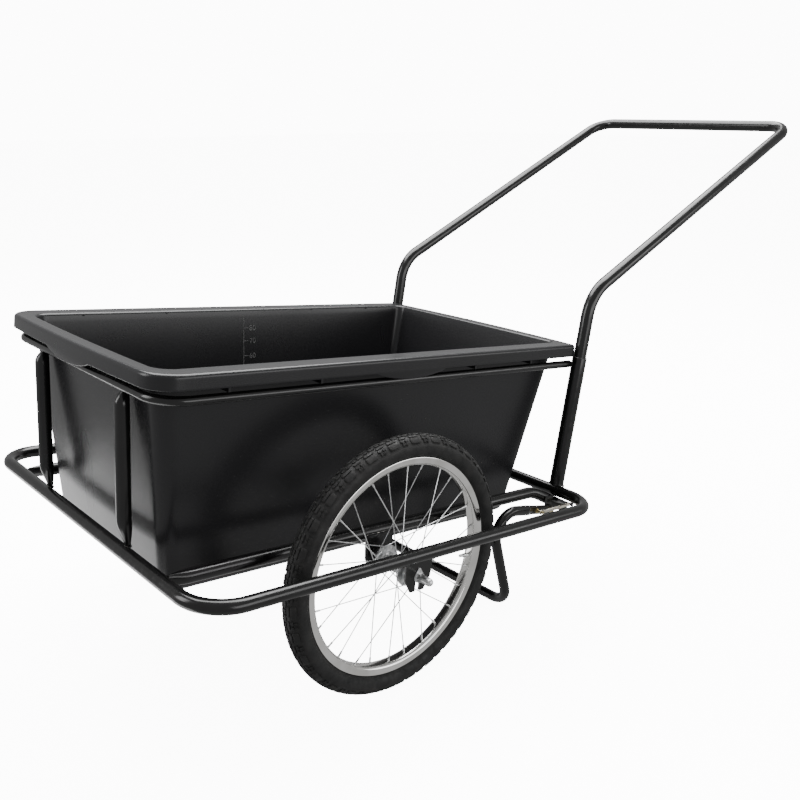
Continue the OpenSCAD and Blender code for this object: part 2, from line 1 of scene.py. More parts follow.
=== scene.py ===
"""Looks of the garden handcart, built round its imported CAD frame.

Shapes are drawn in millimetres in the deck frame: the origin is on the wheel axis at the
middle of the cart, X runs towards the handle, Y across and Z up from the deck. world()
sets a deck point in the row frame. Side -1 is the left wheel's side.
"""
import json
import math

import bmesh
import bpy
from mathutils import Matrix, Vector

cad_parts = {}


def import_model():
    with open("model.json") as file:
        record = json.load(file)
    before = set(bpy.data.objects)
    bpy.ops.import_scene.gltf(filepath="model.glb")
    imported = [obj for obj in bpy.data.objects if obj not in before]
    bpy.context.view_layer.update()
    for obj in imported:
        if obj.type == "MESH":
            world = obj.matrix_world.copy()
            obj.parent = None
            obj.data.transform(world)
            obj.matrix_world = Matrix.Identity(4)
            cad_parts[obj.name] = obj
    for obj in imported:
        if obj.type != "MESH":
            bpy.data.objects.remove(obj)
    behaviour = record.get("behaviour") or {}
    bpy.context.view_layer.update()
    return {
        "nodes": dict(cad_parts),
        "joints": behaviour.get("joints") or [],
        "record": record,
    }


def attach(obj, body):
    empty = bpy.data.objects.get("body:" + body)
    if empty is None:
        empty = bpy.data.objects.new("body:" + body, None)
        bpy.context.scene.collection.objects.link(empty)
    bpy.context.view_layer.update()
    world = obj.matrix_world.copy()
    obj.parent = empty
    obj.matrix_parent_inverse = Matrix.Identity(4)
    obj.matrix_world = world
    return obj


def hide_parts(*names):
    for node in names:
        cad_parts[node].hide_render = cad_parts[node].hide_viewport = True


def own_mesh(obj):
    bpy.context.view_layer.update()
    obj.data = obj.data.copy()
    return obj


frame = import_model()
nodes = frame["nodes"]
joints = {j["name"]: j for j in frame["joints"]}

SIDES = {"left": -1, "right": 1}
MM = 0.001
UP = Vector((0, 0, 1))
ACROSS = Vector((0, 1, 0))

# ---- The deck frame, from the joints ----

deck_z = Vector(joints["tub_lift"]["axis"]).normalized()
wheel_point = Vector(joints["wheel_left_spin"]["pos_m"])
DECK = Matrix((
    (deck_z.z, 0, deck_z.x, wheel_point.x),
    (0, 1, 0, 0),
    (-deck_z.x, 0, deck_z.z, wheel_point.z),
    (0, 0, 0, 1),
))
FROM_WORLD = DECK.inverted()


def world(point):
    return DECK @ (Vector(point) * MM)


def deck_box(node):
    """Lowest and highest corners of a CAD node in the deck frame, in millimetres."""
    points = [FROM_WORLD @ v.co / MM for v in nodes[node].data.vertices]
    low = Vector([min(p[i] for p in points) for i in range(3)])
    high = Vector([max(p[i] for p in points) for i in range(3)])
    return low, high


def deck_point(joint):
    return FROM_WORLD @ Vector(joints[joint]["pos_m"]) / MM


# ---- Meshes ----

class Shape:
    """Points and faces of a piece, gathered part by part."""

    def __init__(self):
        self.points = []
        self.faces = []

    def add(self, points, faces):
        base = len(self.points)
        self.points += [Vector(p) for p in points]
        self.faces += [[base + i for i in f] for f in faces]

    def mirrored(self):
        """The same shape on the other side of the cart."""
        other = Shape()
        other.add([(p.x, -p.y, p.z) for p in self.points], [f[::-1] for f in self.faces])
        return other


def piece(name, shape, material, body, replaces=(), sharp=32):
    """Makes a Blender object of a shape, smooth except at edges sharper than the angle."""
    mesh = bpy.data.meshes.new(name)
    mesh.from_pydata([world(p) for p in shape.points], [], shape.faces)
    mesh.materials.append(material)
    work = bmesh.new()
    work.from_mesh(mesh)
    bmesh.ops.recalc_face_normals(work, faces=work.faces)
    for face in work.faces:
        face.smooth = True
    for edge in work.edges:
        edge.smooth = edge.calc_face_angle(math.pi) < math.radians(sharp)
    work.to_mesh(mesh)
    work.free()
    obj = bpy.data.objects.new(name, mesh)
    bpy.context.scene.collection.objects.link(obj)
    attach(obj, body)
    for node in replaces:
        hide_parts(node)
    return obj


def bridge(rings, closed=False, cap=True):
    """Faces between rings of equal length, with flat ends where the run isn't closed."""
    n = len(rings[0])
    faces = []
    pairs = range(len(rings) if closed else len(rings) - 1)
    for i in pairs:
        a = i * n
        b = (i + 1) % len(rings) * n
        faces += [[a + k, a + (k + 1) % n, b + (k + 1) % n, b + k] for k in range(n)]
    if cap and not closed:
        last = (len(rings) - 1) * n
        faces.append(list(range(n))[::-1])
        faces.append([last + k for k in range(n)])
    return faces


def rounded_path(corners, radii, turn_step=5):
    """Points along straights whose inner corners are rounded to the radii given."""
    path = [Vector(corners[0])]
    for before, at, after, radius in zip(corners, corners[1:], corners[2:], radii):
        path += fillet(Vector(before), Vector(at), Vector(after), radius, turn_step)
    return path + [Vector(corners[-1])]


def fillet(before, at, after, radius, turn_step):
    a = (before - at).normalized()
    b = (after - at).normalized()
    half = a.angle(b) / 2
    turn = math.pi - 2 * half
    centre = at + (a + b).normalized() * radius / math.sin(half)
    out = at + a * radius / math.tan(half) - centre
    steps = max(2, math.ceil(math.degrees(turn) / turn_step))
    angles = [turn * k / steps for k in range(steps + 1)]
    return [centre + out * math.cos(t) - a * radius * math.sin(t) for t in angles]


def stations(path, spacing):
    """Adds points to the straights of a path so that none is longer than the spacing."""
    out = [path[0]]
    for a, b in zip(path, path[1:]):
        count = max(1, math.ceil((b - a).length / spacing))
        out += [a.lerp(b, (k + 1) / count) for k in range(count)]
    return out


def sweep(shape, path, section, sides=24, closed=False, up=UP):
    """Tube along a path. section(distance from the start, from the end) gives its two half
    widths, across and along up, and the squareness of its outline (2 is an ellipse)."""
    n = len(path)
    lengths = [0.0]
    for a, b in zip(path, path[1:]):
        lengths.append(lengths[-1] + (b - a).length)
    rings = []
    normal = None
    for i, at in enumerate(path):
        ahead = path[(i + 1) % n] - at if closed or i < n - 1 else at - path[i - 1]
        behind = at - path[i - 1] if closed or i > 0 else ahead
        tangent = (ahead.normalized() + behind.normalized()).normalized()
        if normal is None:
            normal = up
        normal = (normal - tangent * normal.dot(tangent)).normalized()
        side = tangent.cross(normal)
        wide, tall, square = section(lengths[i], lengths[-1] - lengths[i])
        for k in range(sides):
            angle = 2 * math.pi * k / sides
            c, s = math.cos(angle), math.sin(angle)
            u = wide * math.copysign(abs(c) ** (2 / square), c)
            v = tall * math.copysign(abs(s) ** (2 / square), s)
            rings.append(at + side * u + normal * v)
    rows = [rings[i * sides:(i + 1) * sides] for i in range(n)]
    shape.add(rings, bridge(rows, closed))


def round_tube(radius):
    def section(start, end):
        return radius, radius, 2
    return section


def turned(shape, profile, centre, side=1, sides=48, flats=None, closed=False):
    """Turns a profile of (radius, distance outwards) about an axis across the cart. With
    flats, the radius is cut back to a hexagon of that width."""
    rings = []
    for radius, out in profile:
        for k in range(sides):
            angle = 2 * math.pi * k / sides
            r = radius
            if flats:
                r = min(r, flats / 2 / math.cos(angle % (math.pi / 3) - math.pi / 6))
            offset = Vector((r * math.cos(angle), side * out, r * math.sin(angle)))
            rings.append(Vector(centre) + offset)
    rows = [rings[i * sides:(i + 1) * sides] for i in range(len(profile))]
    shape.add(rings, bridge(rows, closed))


def smooth_step(value):
    t = min(1, max(0, value))
    return t * t * (3 - 2 * t)


def arc(centre, radius, start, end, steps):
    """Points of a flat arc; the angles are in degrees."""
    angles = [math.radians(start + (end - start) * k / steps) for k in range(steps + 1)]
    return [(centre[0] + radius * math.cos(t), centre[1] + radius * math.sin(t)) for t in angles]


# ---- Materials ----

def material(name, colour, roughness, metallic=0.0, specular=0.5):
    """A Principled material. Returns it with its nodes, links and shader."""
    mat = bpy.data.materials.new(name)
    mat.use_nodes = True
    tree = mat.node_tree
    shader = tree.nodes["Principled BSDF"]
    shader.inputs["Base Color"].default_value = (*colour, 1)
    shader.inputs["Roughness"].default_value = roughness
    shader.inputs["Metallic"].default_value = metallic
    shader.inputs["Specular IOR Level"].default_value = specular
    return mat, tree, shader


def noise(tree, scale, detail=4.0, distortion=0.0, stretch=(1, 1, 1)):
    """Noise in the object's own space, which is the row frame in metres."""
    place = tree.nodes.new("ShaderNodeTexCoord")
    mapping = tree.nodes.new("ShaderNodeMapping")
    mapping.inputs["Scale"].default_value = stretch
    texture = tree.nodes.new("ShaderNodeTexNoise")
    texture.inputs["Scale"].default_value = scale
    texture.inputs["Detail"].default_value = detail
    texture.inputs["Distortion"].default_value = distortion
    tree.links.new(place.outputs["Object"], mapping.inputs["Vector"])
    tree.links.new(mapping.outputs["Vector"], texture.inputs["Vector"])
    return texture.outputs["Fac"]


def spread(tree, value, low, high, start=0.35, end=0.65):
    """Maps the useful part of a noise to a range."""
    node = tree.nodes.new("ShaderNodeMapRange")
    node.inputs["From Min"].default_value = start
    node.inputs["From Max"].default_value = end
    node.inputs["To Min"].default_value = low
    node.inputs["To Max"].default_value = high
    tree.links.new(value, node.inputs["Value"])
    return node.outputs["Result"]


def two_tone(tree, shader, value, dark, light):
    ramp = tree.nodes.new("ShaderNodeMix")
    ramp.data_type = "RGBA"
    ramp.inputs["A"].default_value = (*dark, 1)
    ramp.inputs["B"].default_value = (*light, 1)
    tree.links.new(value, ramp.inputs["Factor"])
    tree.links.new(ramp.outputs["Result"], shader.inputs["Base Color"])


def bump(tree, shader, value, strength, distance):
    node = tree.nodes.new("ShaderNodeBump")
    node.inputs["Strength"].default_value = strength
    node.inputs["Distance"].default_value = distance
    tree.links.new(value, node.inputs["Height"])
    tree.links.new(node.outputs["Normal"], shader.inputs["Normal"])


def paint_material():
    """Gloss black powder coat, a little uneven in colour and gloss."""
    mat, tree, shader = material("black_gloss_paint", (0.004, 0.004, 0.004), 0.2)
    rough = spread(tree, noise(tree, 60, 3), 0.15, 0.26)
    tree.links.new(rough, shader.inputs["Roughness"])
    two_tone(tree, shader, spread(tree, noise(tree, 18, 5), 0, 1),
             (0.003, 0.003, 0.003), (0.006, 0.006, 0.006))
    return mat


def weld_material():
    """Weld bead under thin paint; its lighter patches are painted highlight, the glints that a
    bead catches.
    """
    mat, tree, shader = material("weld_bead", (0.03, 0.03, 0.03), 0.34, metallic=0.6)
    # lighter patches scattered by a noise: painted highlight standing for the glints on the bead
    painted_glint = spread(tree, noise(tree, 140, 4), 0, 1, 0.52, 0.62)
    two_tone(tree, shader, painted_glint, (0.015, 0.015, 0.016), (0.32, 0.31, 0.29))
    bump(tree, shader, noise(tree, 600, 3), 0.35, 0.0006)
    return mat


def plastic_material():
    """Satin moulded polythene with slow flow marks in its colour and gloss."""
    mat, tree, shader = material("black_satin_plastic", (0.01, 0.01, 0.011), 0.27, specular=0.4)
    two_tone(tree, shader, spread(tree, noise(tree, 7, 3), 0, 1, 0, 1),
             (0.008, 0.008, 0.009), (0.014, 0.014, 0.015))
    flow = noise(tree, 9, 2, 0, (1, 1, 0.35))
    tree.links.new(spread(tree, flow, 0.24, 0.29, 0, 1), shader.inputs["Roughness"])
    return mat


def worn_mark_material():
    """Raised marks in the tub, coloured lighter than the plastic round them."""
    mat, tree, shader = material("lighter_plastic_mark", (0.08, 0.08, 0.08), 0.5)
    two_tone(tree, shader, spread(tree, noise(tree, 90, 4), 0, 1),
             (0.055, 0.055, 0.056), (0.11, 0.11, 0.11))
    return mat


def tyre_material():
    """Matte tyre rubber with a little dust held in it."""
    mat, tree, shader = material("tyre_rubber_matte", (0.01, 0.01, 0.01), 0.7, specular=0.35)
    dust = spread(tree, noise(tree, 45, 6, 0.3), 0, 1, 0.42, 0.7)
    two_tone(tree, shader, dust, (0.007, 0.007, 0.007), (0.018, 0.0175, 0.017))
    tree.links.new(spread(tree, noise(tree, 90, 4), 0.52, 0.78), shader.inputs["Roughness"])
    bump(tree, shader, noise(tree, 700, 4), 0.25, 0.0006)
    return mat


def inner_tube_material():
    mat, tree, shader = material("inner_tube_rubber", (0.02, 0.02, 0.02), 0.8, specular=0.3)
    tree.links.new(spread(tree, noise(tree, 80, 4), 0.7, 0.9), shader.inputs["Roughness"])
    bump(tree, shader, noise(tree, 500, 3), 0.2, 0.0005)
    return mat


def chrome_material():
    """Chromed steel with the soft waviness of a rolled rim."""
    mat, tree, shader = material("rim_chrome", (0.62, 0.61, 0.59), 0.14, metallic=1.0)
    two_tone(tree, shader, spread(tree, noise(tree, 25, 5), 0, 1),
             (0.74, 0.73, 0.70), (0.90, 0.89, 0.87))
    tree.links.new(spread(tree, noise(tree, 120, 5), 0.07, 0.15), shader.inputs["Roughness"])
    bump(tree, shader, noise(tree, 60, 2), 0.03, 0.0006)
    return mat


def zinc_material(name, dark, light, rough_low, rough_high):
    """Plated steel whose crystals break up its gloss."""
    mat, tree, shader = material(name, light, rough_high, metallic=1.0)
    two_tone(tree, shader, spread(tree, noise(tree, 160, 5), 0, 1), dark, light)
    grain = spread(tree, noise(tree, 420, 4), rough_low, rough_high)
    tree.links.new(grain, shader.inputs["Roughness"])
    bump(tree, shader, noise(tree, 900, 3), 0.15, 0.0003)
    return mat


paint = paint_material()
weld_metal = weld_material()
plastic = plastic_material()
rubber = tyre_material()
tube_rubber = inner_tube_material()
chrome = chrome_material()
zinc = zinc_material("zinc_plate_bright", (0.58, 0.59, 0.59), (0.84, 0.85, 0.85), 0.28, 0.42)
yellow_zinc = zinc_material("zinc_plate_yellow", (0.42, 0.34, 0.16), (0.66, 0.58, 0.36), 0.22, 0.4)
mark_plastic = worn_mark_material()
ball_steel = zinc_material("bearing_ball_steel", (0.5, 0.5, 0.5), (0.62, 0.62, 0.62), 0.08, 0.14)
spring_steel = zinc_material("spring_wire", (0.60, 0.57, 0.50), (0.76, 0.73, 0.66), 0.42, 0.55)

SLOT_MATERIALS = {
    "black_paint": paint,
    "zinc_plate": zinc,
    "yellow_zinc": yellow_zinc,
    "chrome_rim": chrome,
    "bearing_steel": ball_steel,
    "black_plastic": plastic,
    "tyre_rubber": rubber,
    "tube_rubber": tube_rubber,
}
for subpart in frame["record"]["subparts"]:
    data = nodes[subpart["node"]].data
    data.materials.clear()
    data.materials.append(SLOT_MATERIALS[subpart["material_slot"]])

# ---- Frame tubes ----

loop_low, loop_high = deck_box("bumper_loop")
TUBE_R = (loop_high.z - loop_low.z) / 2
LOOP_Z = (loop_high.z + loop_low.z) / 2
LOOP_FRONT = loop_low.x + TUBE_R
LOOP_REAR = loop_high.x - TUBE_R
LOOP_Y = loop_high.y - TUBE_R
LOOP_FRONT_R = 72
LOOP_REAR_R = 70
RIM_TUBE_R = 8
RIM_TUBE_Z = 329
RIM_TUBE_FRONT = -447
RIM_TUBE_Y = 290
RIM_TUBE_BEND = 55
RAIL_Y = deck_box("inner_dropout_right")[0].y - TUBE_R
STAND_R = 11
RAIL_BEND = Vector((462, RAIL_Y, LOOP_Z))
RAIL_TAIL = Vector((540, RAIL_Y + 34, 6.4))
POST_Y = 304
POST_R = 16
POST_FOOT = Vector((530, POST_Y, LOOP_Z))
POST_TOP = Vector((551.3, POST_Y, 345.5))
HANDLE_R = 14
HANDLE_BEND = Vector((561, POST_Y, 484))
GRIP_X = 1335
GRIP_Z = 922
FRONT_POST_Y = 164
FRONT_POST_R = 12.5
POST_TONGUE_X = 6
STAND_Y = RAIL_Y + TUBE_R + 20
PIVOT = deck_point("stand_fold")
PIVOT_SIDE = Vector((PIVOT.x, STAND_Y, PIVOT.z))
STAND_END = Vector((424, STAND_Y, 18))
STAND_SHOULDER = Vector((289, STAND_Y, 36))
STAND_FOOT = Vector((383, STAND_Y, -193))


def other_side(point):
    return Vector((point.x, -point.y, point.z))


def bumper_loop():
    corners = [
        (LOOP_REAR, 0, LOOP_Z), (LOOP_REAR, LOOP_Y, LOOP_Z), (LOOP_FRONT, LOOP_Y, LOOP_Z),
        (LOOP_FRONT, -LOOP_Y, LOOP_Z), (LOOP_REAR, -LOOP_Y, LOOP_Z), (LOOP_REAR, 0, LOOP_Z),
    ]
    radii = [LOOP_REAR_R, LOOP_FRONT_R, LOOP_FRONT_R, LOOP_REAR_R]
    shape = Shape()
    path = rounded_path(corners, radii)[:-1]
    sweep(shape, path, round_tube(TUBE_R), 32, closed=True)
    piece("bumper_loop_tube", shape, paint, "frame", ["bumper_loop"])


def pinched(radius, flat_l, wide, tall, at_start=True, at_end=True):
    """Section of a tube squeezed to wide by tall at its ends."""
    def section(start, end):
        near = min(start if at_start else 1e6, end if at_end else 1e6)
        t = smooth_step(near / flat_l) ** 0.7
        return wide + (radius - wide) * t, tall + (radius - tall) * t, 2.4 - 0.4 * t
    return section


def rails():
    front = Vector((LOOP_FRONT + TUBE_R - 1, RAIL_Y, LOOP_Z))
    path = stations(rounded_path([front, RAIL_BEND, RAIL_TAIL], [60]), 6)
    shape = Shape()
    sweep(shape, path, pinched(TUBE_R, 38, 3.5, 9.5, at_end=False), 28)
    turned_cap(shape, RAIL_TAIL, (RAIL_TAIL - RAIL_BEND).normalized(), TUBE_R)
    piece("rail_tube_right", shape, paint, "frame", ["rail_right"])
    piece("rail_tube_left", shape.mirrored(), paint, "frame", ["rail_left"])


def turned_cap(shape, end, direction, radius):
    """Low domed plug in the end of a tube."""
    side = direction.cross(ACROSS).normalized()
    other = direction.cross(side)
    rings = []
    sides = 28
    profile = [(radius - 1.2, -0.6), (radius - 1.6, 0.3), (radius - 4, 0.9), (2, 1.2)]
    for r, out in profile:
        for k in range(sides):
            a = 2 * math.pi * k / sides
            rings.append(end + direction * out + side * r * math.cos(a) + other * r * math.sin(a))
    rows = [rings[i * sides:(i + 1) * sides] for i in range(len(profile))]
    shape.add(rings, bridge(rows))


def rim_frame():
    rear = POST_TOP.x - POST_R - 1
    corners = [
        (rear, -RIM_TUBE_Y, RIM_TUBE_Z), (RIM_TUBE_FRONT, -RIM_TUBE_Y, RIM_TUBE_Z),
        (RIM_TUBE_FRONT, RIM_TUBE_Y, RIM_TUBE_Z), (rear, RIM_TUBE_Y, RIM_TUBE_Z),
    ]
    shape = Shape()
    sweep(shape, rounded_path(corners, [RIM_TUBE_BEND] * 2), round_tube(RIM_TUBE_R), 24)
    piece("rim_frame_tube", shape, paint, "frame", ["rim_frame"])


def front_posts():
    """Tubes swaged to a tongue at both ends, leaning slightly forward."""
    low = Vector((LOOP_FRONT, FRONT_POST_Y, LOOP_Z + TUBE_R - 1))
    high = Vector((RIM_TUBE_FRONT, FRONT_POST_Y, RIM_TUBE_Z - RIM_TUBE_R + 1))
    path = stations([low, high], 4)
    for point in path:
        near_low = 1 - smooth_step((point.z - low.z) / 52)
        near_high = 1 - smooth_step((high.z - point.z) / 24)
        point.x += POST_TONGUE_X * max(near_low, near_high)

    def section(start, end):
        low_t = smooth_step(start / 46) ** 0.8
        high_t = smooth_step(end / 24) ** 0.6
        t = min(low_t, high_t)
        return 4 + (FRONT_POST_R - 4) * t, 5 + (FRONT_POST_R - 5) * t, 2.5 - 0.5 * t

    shape = Shape()
    sweep(shape, path, section, 28, up=Vector((1, 0, 0)))
    piece("front_post_tube_right", shape, paint, "frame", ["front_post_right"])
    piece("front_post_tube_left", shape.mirrored(), paint, "frame",
          ["front_post_left"])


def rear_posts():
    """Sockets with a rounded mouth that the handle tube goes into."""
    along = (POST_TOP - POST_FOOT).normalized()
    low = POST_FOOT + along * (TUBE_R - 2)

    def section(start, end):
        edge = 1.2 * (1 - math.sqrt(1 - (1 - min(1, end / 1.2)) ** 2))
        return POST_R - edge, POST_R - edge, 2

    path = stations([low, POST_TOP - along * 1.2], 40)
    path += [POST_TOP - along * d for d in (0.9, 0.5, 0.2, 0.0)]
    shape = Shape()
    sweep(shape, path, section, 36)
    piece("rear_post_tube_right", shape, paint, "frame", ["rear_post_right"])
    piece("rear_post_tube_left", shape.mirrored(), paint, "frame",
          ["rear_post_left"])


def handle():
    along = (POST_TOP - POST_FOOT).normalized()
    low = POST_TOP - along * 60
    grip = Vector((GRIP_X, POST_Y, GRIP_Z))
    corners = [low, HANDLE_BEND, grip]
    corners += [other_side(point) for point in corners[::-1]]
    shape = Shape()
    sweep(shape, rounded_path(corners, [90, 55, 55, 90], 4), round_tube(HANDLE_R), 32)
    piece("handle_tube", shape, paint, "frame", ["handle"])


def stand():
    """Bent tube whose ends are pressed flat and drilled for the pivot and the spring."""
    end = PIVOT_SIDE + (PIVOT_SIDE - STAND_END).normalized() * 10

    def section(start, far):
        d = min(start, far)
        t = smooth_step((d - 74) / 26)
        nose = math.sqrt(max(0.02, 1 - (1 - min(1, d / 10)) ** 2))
        flat_w, flat_h = 3, 10 * nose
        return flat_w + (STAND_R - flat_w) * t, flat_h + (STAND_R - flat_h) * t, 5 - 3 * t

    corners = [
        end, STAND_END, STAND_SHOULDER, STAND_FOOT,
        other_side(STAND_FOOT), other_side(STAND_SHOULDER), other_side(STAND_END),
        other_side(end),
    ]
    path = stations(rounded_path(corners, [30, 48, 45, 45, 48, 30], 4), 3)
    shape = Shape()
    sweep(shape, path, section, 32)
    piece("stand_tube", shape, paint, "stand", ["stand"])


# ---- Welds ----

BEAD_R = 1.9


def bead(shape, points, closed=True, radius=BEAD_R):
    """Weld bead with the ripple of its puddles."""
    def ripple(start, end):
        puddle = radius * (1 + 0.16 * math.sin(start * 1.9))
        return puddle, puddle, 2

    sweep(shape, [Vector(p) for p in points], ripple, 8, closed)


def saddle(foot, along, radius, main_axis, main_r, steps=72):
    """Line where a tube of that radius, from foot along its axis, meets a crossing tube."""
    u = (main_axis - along * main_axis.dot(along)).normalized()
    v = along.cross(u)
    points = []
    for k in range(steps):
        a = 2 * math.pi * k / steps
        off = u * radius * math.cos(a) + v * radius * math.sin(a)
        rise = math.sqrt(max(0, main_r ** 2 - (radius * math.sin(a)) ** 2))
        points.append(foot + off + along * rise)
    return points


def welds():
    half = Shape()
    post_along = (POST_TOP - POST_FOOT).normalized()
    foot = saddle(POST_FOOT, post_along, POST_R, ACROSS, POST_R)
    bead(half, [p + Vector((0, 0, TUBE_R - POST_R)) for p in foot])
    rim_end = Vector((POST_TOP.x - POST_R, RIM_TUBE_Y, RIM_TUBE_Z))
    ring = [rim_end + Vector((0, RIM_TUBE_R * math.cos(a), RIM_TUBE_R * math.sin(a)))
            for a in [2 * math.pi * k / 40 for k in range(40)]]
    bead(half, ring, radius=1.5)
    post_low = Vector((LOOP_FRONT + POST_TONGUE_X, FRONT_POST_Y, LOOP_Z + TUBE_R - 1.5))
    tongue(half, post_low, 5, 6)
    post_high = Vector((RIM_TUBE_FRONT + POST_TONGUE_X, FRONT_POST_Y, RIM_TUBE_Z - RIM_TUBE_R + 2))
    tongue(half, post_high, 5, 5)
    rail_end = Vector((LOOP_FRONT + TUBE_R, RAIL_Y, LOOP_Z))
    ring = [rail_end + Vector((0.6, 4 * math.cos(a), 9 * math.sin(a)))
            for a in [2 * math.pi * k / 40 for k in range(40)]]
    bead(half, ring, radius=1.6)
    plate_welds(half)
    piece("frame_welds_right", half, weld_metal, "frame")
    piece("frame_welds_left", half.mirrored(), weld_metal, "frame")


def tongue(shape, at, wide, deep):
    """Bead round the tongue of a post where it stands on a tube."""
    steps = 32
    points = []
    for k in range(steps):
        a = 2 * math.pi * k / steps
        points.append(at + Vector((wide * math.cos(a), deep * math.sin(a), 0)))
    bead(shape, points, radius=1.7)


def plate_welds(shape):
    """Straight beads where the dropout plates meet the loop and the rail."""
    low, high = deck_box("outer_dropout_right")
    for y in (low.y, high.y):
        z = LOOP_Z - math.sqrt(TUBE_R ** 2 - (LOOP_Y - y) ** 2)
        points = [(low.x + 4 + k * 2, y, z) for k in range(int((high.x - low.x - 8) / 2))]
        bead(shape, points, closed=False, radius=1.5)
    low, high = deck_box("inner_dropout_right")
    for z in (high.z, LOOP_Z - 6):
        y = RAIL_Y + math.sqrt(TUBE_R ** 2 - (z - LOOP_Z) ** 2) - 0.3
        points = [(low.x + 4 + k * 2, y, z) for k in range(int((high.x - low.x - 8) / 2))]
        bead(shape, points, closed=False, radius=1.3)


# ---- Tub ----

LIP = (-464, 541, 302, 54, 14, 6, 14)
MOUTH = (-436, 523, 260, 36, 22, 4, 4)
FLOOR = (-388, 460, 218, 30, 18, 4, 4)
TUB_TOP = 373
TUB_BOTTOM = -25
WALL = 4
WEB_X = 52
WEB_HALF = 80
WEB_DROP = 13.5
CORNER_STEPS = 10
END_STEPS = 40
SIDE_STEPS = 110


def ring(box, z, inset=0.0, webbed=0.0):
    """Points of an outline at a height. box is front, rear, half width, front and rear
    corner radius, and how far the front and the rear bow outwards."""
    x0, x1, y1, r0, r1, bow0, bow1 = box
    x0, x1, y1 = x0 + inset, x1 - inset, y1 - inset
    r0, r1 = max(0.6, r0 - inset), max(0.6, r1 - inset)
    points = arc((x1 - r1, y1 - r1), r1, 0, 90, CORNER_STEPS)
    points += side_run(x1 - r1, x0 + r0, y1)
    points += arc((x0 + r0, y1 - r0), r0, 90, 180, CORNER_STEPS)
    points += end_run(x0, y1 - r0, -bow0, 1)
    points += arc((x0 + r0, r0 - y1), r0, 180, 270, CORNER_STEPS)
    points += side_run(x0 + r0, x1 - r1, -y1)
    points += arc((x1 - r1, r1 - y1), r1, 270, 360, CORNER_STEPS)
    points += end_run(x1, y1 - r1, bow1, -1)
    return [Vector((x, y, z - webbed * web_depth(x, y, x0))) for x, y in points]


def side_run(start, end, y):
    steps = range(1, SIDE_STEPS)
    return [(start + (end - start) * k / SIDE_STEPS, y) for k in steps]


def end_run(x, span, bow, direction):
    out = []
    for k in range(1, END_STEPS):
        s = direction * (1 - 2 * k / END_STEPS)
        out.append((x + bow * (1 - s * s), span * s))
    return out


def web_depth(x, y, front):
    """How far the hand-hold webs hang below the skirt, with a small step at each end."""
    along = y if x < front + 1 else x - WEB_X
    if x > front + 1 and abs(y) < LIP[2] - 30:
        return 0
    share = abs(along) / WEB_HALF
    if share >= 1:
        return 0
    return 3.5 + (WEB_DROP - 3.5) * (1 - share ** 2)


def wall_box(z):
    t = (z - TUB_BOTTOM) / (TUB_TOP - TUB_BOTTOM)
    return [f + (m - f) * t for f, m in zip(FLOOR, MOUTH)]


def tub():
    rings = []
    # Outside: up from the bottom edge to the lip's underside
    for inset, rise in [(16 - x, 16 - y) for x, y in arc((0, 0), 16, 90, 0, 6)]:
        rings.append(ring(wall_box(TUB_BOTTOM + rise), TUB_BOTTOM + rise, inset))
    for z in (20, 80, 140, 200, 260, 310, 340, 360, 366):
        rings.append(ring(wall_box(z), z))
    rings.append(ring(wall_box(368.6), 368.6, -2))
    # Under the lip, and round the bottom edge of the skirt
    for inset, z in [(7, 368.8), (4.4, 368), (3.6, 366), (3.4, 350)]:
        rings.append(ring(LIP, z, inset))
    for inset, z in [(3.2, 348), (2.6, 347.2), (1.7, 347), (0.7, 347.3), (0, 348.2)]:
        rings.append(ring(LIP, z, inset, webbed=1))
    # Skirt with a little draft, and the rounded shoulder of the lip
    rings.append(ring(LIP, 350.5, 0))
    rings.append(ring(LIP, 365, 0.7))
    for x, y in arc((7.2, TUB_TOP - 6.5), 6.5, 180, 90, 7):
        rings.append(ring(LIP, y, x))
    # Lip's top, dished a little, and over the inner edge
    rings.append(ring(LIP, TUB_TOP - 0.4, 11))
    rings.append(ring(MOUTH, TUB_TOP - 0.5, -4))
    for x, y in arc((-1.5, TUB_TOP - 6), 5.5, 90, 0, 6):
        rings.append(ring(wall_box(y), y, x))
    # Inside: down the wall and round into the floor
    for z in (355, 335, 300, 260, 210, 160, 110, 60, 20):
        rings.append(ring(wall_box(z), z, WALL))
    for x, y in arc((WALL + 15, TUB_BOTTOM + WALL + 15), 15, 180, 270, 6):
        rings.append(ring(wall_box(y), y, x))
    shape = Shape()
    shape.add([p for row in rings for p in row], bridge(rings))
    rest_ribs(shape)
    piece("tub_moulding", shape, plastic, "tub", ["tub"], sharp=40)


def rest_ribs(shape):
    """Ribs under the lip that sit on the rim tube."""
    low = RIM_TUBE_Z + RIM_TUBE_R + 0.4
    for side in (-1, 1):
        for x in (-330, -150, 230, 400):
            inner = wall_box(low)[2] - 1
            box_between(shape, (x - 2, side * inner, low), (x + 2, side * (RIM_TUBE_Y + 2), 369))


def box_between(shape, low, high):
    xs, ys, zs = zip(low, high)
    corners = [(x, y, z) for z in zs for y in ys for x in xs]
    shape.add(corners, [[0, 2, 3, 1], [4, 5, 7, 6], [0, 1, 5, 4], [2, 6, 7, 3],
                        [0, 4, 6, 2], [1, 3, 7, 5]])


# ---- Litre scale on the inner wall of the far side ----

SCALE_X = 40
SCALE_MARKS = {80: 330, 70: 301, 60: 267}
SCALE_RELIEF = 0.7


def wall_point(x, z, raised=0.0):
    """Point on the inner face of the +Y wall, raised into the tub."""
    slope = (MOUTH[2] - FLOOR[2]) / (TUB_TOP - TUB_BOTTOM)
    out = Vector((0, -1, slope)).normalized()
    return Vector((x, wall_box(z)[2] - WALL, z)) + out * raised


def scale_bar(shape, x0, x1, z0, z1):
    """Raised bar between two corners on the wall."""
    corners = [(x0, z0), (x1, z0), (x1, z1), (x0, z1)]
    rows = [[wall_point(x, z, lift) for x, z in corners] for lift in (-1, SCALE_RELIEF)]
    shape.add([p for row in rows for p in row], bridge(rows))


